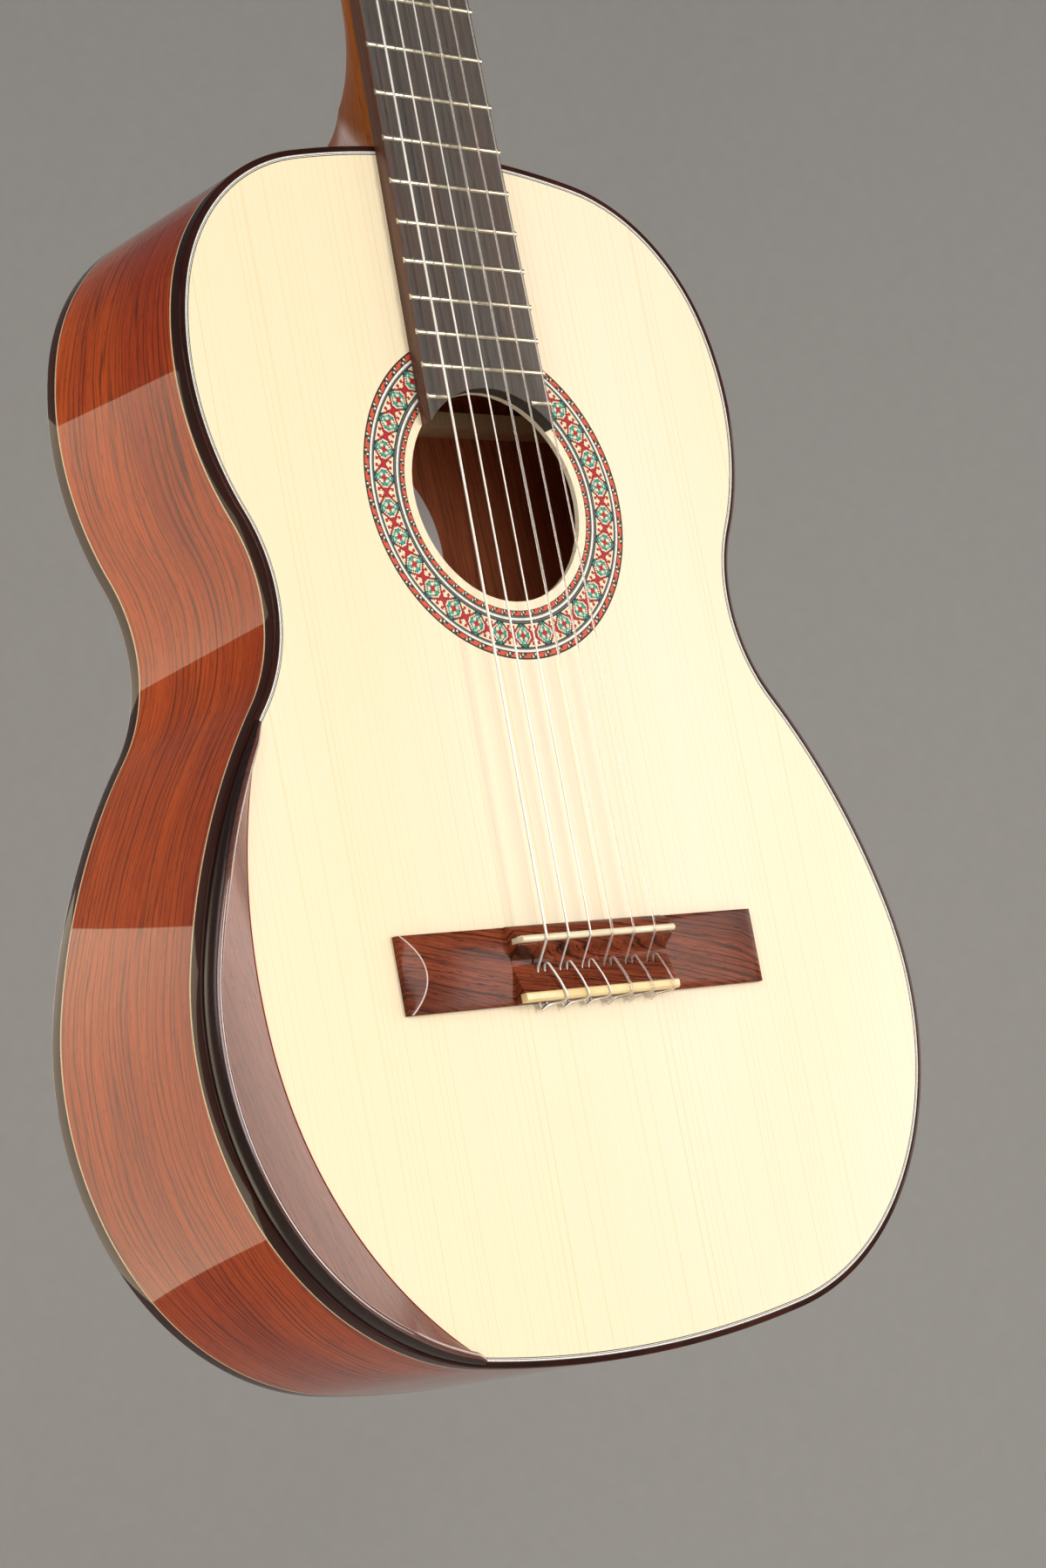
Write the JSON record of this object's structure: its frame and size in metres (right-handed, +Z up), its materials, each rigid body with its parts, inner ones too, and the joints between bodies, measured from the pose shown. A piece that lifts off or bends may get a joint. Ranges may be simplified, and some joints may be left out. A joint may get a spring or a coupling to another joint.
{
  "type": "classical guitar",
  "caption": "Classical guitar with a hollow body, domed arm rest, tie bridge, fretted neck and a slotted head with worm-and-gear tuning machines.",
  "frame": {"origin": "on the centre line at the nut's front edge, on the plane of the soundboard and the neck's top, where a wall hanger holds the neck", "axes": "+Z up along the neck towards the head, -Y out of the soundboard towards the player's audience, +X towards the treble side"},
  "size_m": [0.3734, 0.1176, 0.9932],
  "materials": {
    "spruce": "glossy lacquer over pale spruce",
    "mosaic": "lacquered wood mosaic",
    "red_hardwood": "high gloss lacquer",
    "inlay": "lacquered light veneer",
    "rosewood": "polished dark rosewood",
    "cedar": "satin lacquer",
    "paper": "matt paper",
    "ebony": "oiled ebony",
    "fret_wire": "polished nickel silver",
    "bone": "polished bone",
    "nylon": "clear nylon",
    "wound_string": "silver-plated winding",
    "gilt_metal": "polished",
    "button": "pearl-like",
    "roller": "satin"
  },
  "bodies": {
    "root": {"soundboard": "spruce", "rosette": "mosaic", "back_bass": "red_hardwood", "back_treble": "red_hardwood", "back_centre_strip": "inlay", "rib_bass": "red_hardwood", "rib_treble": "red_hardwood", "binding_front": "rosewood", "binding_back": "rosewood", "purfling": "inlay", "linings": "cedar", "tail_block": "cedar", "end_graft": "rosewood", "soundboard_braces": "spruce", "back_braces": "cedar", "label": "paper", "neck": "cedar", "heel_cap": "rosewood", "headstock": "cedar", "head_veneer": "rosewood", "fingerboard": "ebony", "frets": "fret_wire", "nut": "bone", "bridge": "rosewood", "saddle": "bone", "tie_block_bone": "bone", "armrest": "rosewood", "string_1": "nylon", "string_2": "nylon", "string_3": "nylon", "string_4": "wound_string", "string_5": "wound_string", "string_6": "wound_string", "plate_bass": "gilt_metal", "plate_treble": "gilt_metal", "plate_screws": "gilt_metal"},
    "knob_1": {"worm_1": "gilt_metal", "button_1": "button"},
    "winder_1": {"gear_1": "gilt_metal", "roller_1": "roller"},
    "knob_2": {"worm_2": "gilt_metal", "button_2": "button"},
    "winder_2": {"gear_2": "gilt_metal", "roller_2": "roller"},
    "knob_3": {"worm_3": "gilt_metal", "button_3": "button"},
    "winder_3": {"gear_3": "gilt_metal", "roller_3": "roller"},
    "knob_4": {"worm_4": "gilt_metal", "button_4": "button"},
    "winder_4": {"gear_4": "gilt_metal", "roller_4": "roller"},
    "knob_5": {"worm_5": "gilt_metal", "button_5": "button"},
    "winder_5": {"gear_5": "gilt_metal", "roller_5": "roller"},
    "knob_6": {"worm_6": "gilt_metal", "button_6": "button"},
    "winder_6": {"gear_6": "gilt_metal", "roller_6": "roller"}
  },
  "joints": [
    {"name": "knob_turn_1", "type": "hinge", "parent": "root", "child": "knob_1", "pos_m": [0.0413, 0.02036, 0.04315], "axis": [0, -0.9659, 0.2588], "continuous": true},
    {"name": "winder_turn_1", "type": "hinge", "parent": "root", "child": "winder_1", "pos_m": [0, 0.01804, 0.03451], "axis": [1, 0, 0], "continuous": true},
    {"name": "knob_turn_2", "type": "hinge", "parent": "root", "child": "knob_2", "pos_m": [0.0413, 0.02942, 0.07696], "axis": [0, -0.9659, 0.2588], "continuous": true},
    {"name": "winder_turn_2", "type": "hinge", "parent": "root", "child": "winder_2", "pos_m": [0, 0.0271, 0.06831], "axis": [1, 0, 0], "continuous": true},
    {"name": "knob_turn_3", "type": "hinge", "parent": "root", "child": "knob_3", "pos_m": [0.0413, 0.03848, 0.11077], "axis": [0, -0.9659, 0.2588], "continuous": true},
    {"name": "winder_turn_3", "type": "hinge", "parent": "root", "child": "winder_3", "pos_m": [0, 0.03616, 0.10212], "axis": [1, 0, 0], "continuous": true},
    {"name": "knob_turn_4", "type": "hinge", "parent": "root", "child": "knob_4", "pos_m": [-0.0413, 0.03848, 0.11077], "axis": [0, -0.9659, 0.2588], "continuous": true},
    {"name": "winder_turn_4", "type": "hinge", "parent": "root", "child": "winder_4", "pos_m": [0, 0.03616, 0.10212], "axis": [1, 0, 0], "continuous": true},
    {"name": "knob_turn_5", "type": "hinge", "parent": "root", "child": "knob_5", "pos_m": [-0.0413, 0.02942, 0.07696], "axis": [0, -0.9659, 0.2588], "continuous": true},
    {"name": "winder_turn_5", "type": "hinge", "parent": "root", "child": "winder_5", "pos_m": [0, 0.0271, 0.06831], "axis": [1, 0, 0], "continuous": true},
    {"name": "knob_turn_6", "type": "hinge", "parent": "root", "child": "knob_6", "pos_m": [-0.0413, 0.02036, 0.04315], "axis": [0, -0.9659, 0.2588], "continuous": true},
    {"name": "winder_turn_6", "type": "hinge", "parent": "root", "child": "winder_6", "pos_m": [0, 0.01804, 0.03451], "axis": [1, 0, 0], "continuous": true}
  ],
  "couplings": [
    {"joint": "winder_turn_1", "follows": "knob_turn_1", "ratio": -0.071429},
    {"joint": "winder_turn_2", "follows": "knob_turn_2", "ratio": -0.071429},
    {"joint": "winder_turn_3", "follows": "knob_turn_3", "ratio": -0.071429},
    {"joint": "winder_turn_4", "follows": "knob_turn_4", "ratio": -0.071429},
    {"joint": "winder_turn_5", "follows": "knob_turn_5", "ratio": -0.071429},
    {"joint": "winder_turn_6", "follows": "knob_turn_6", "ratio": -0.071429}
  ]
}
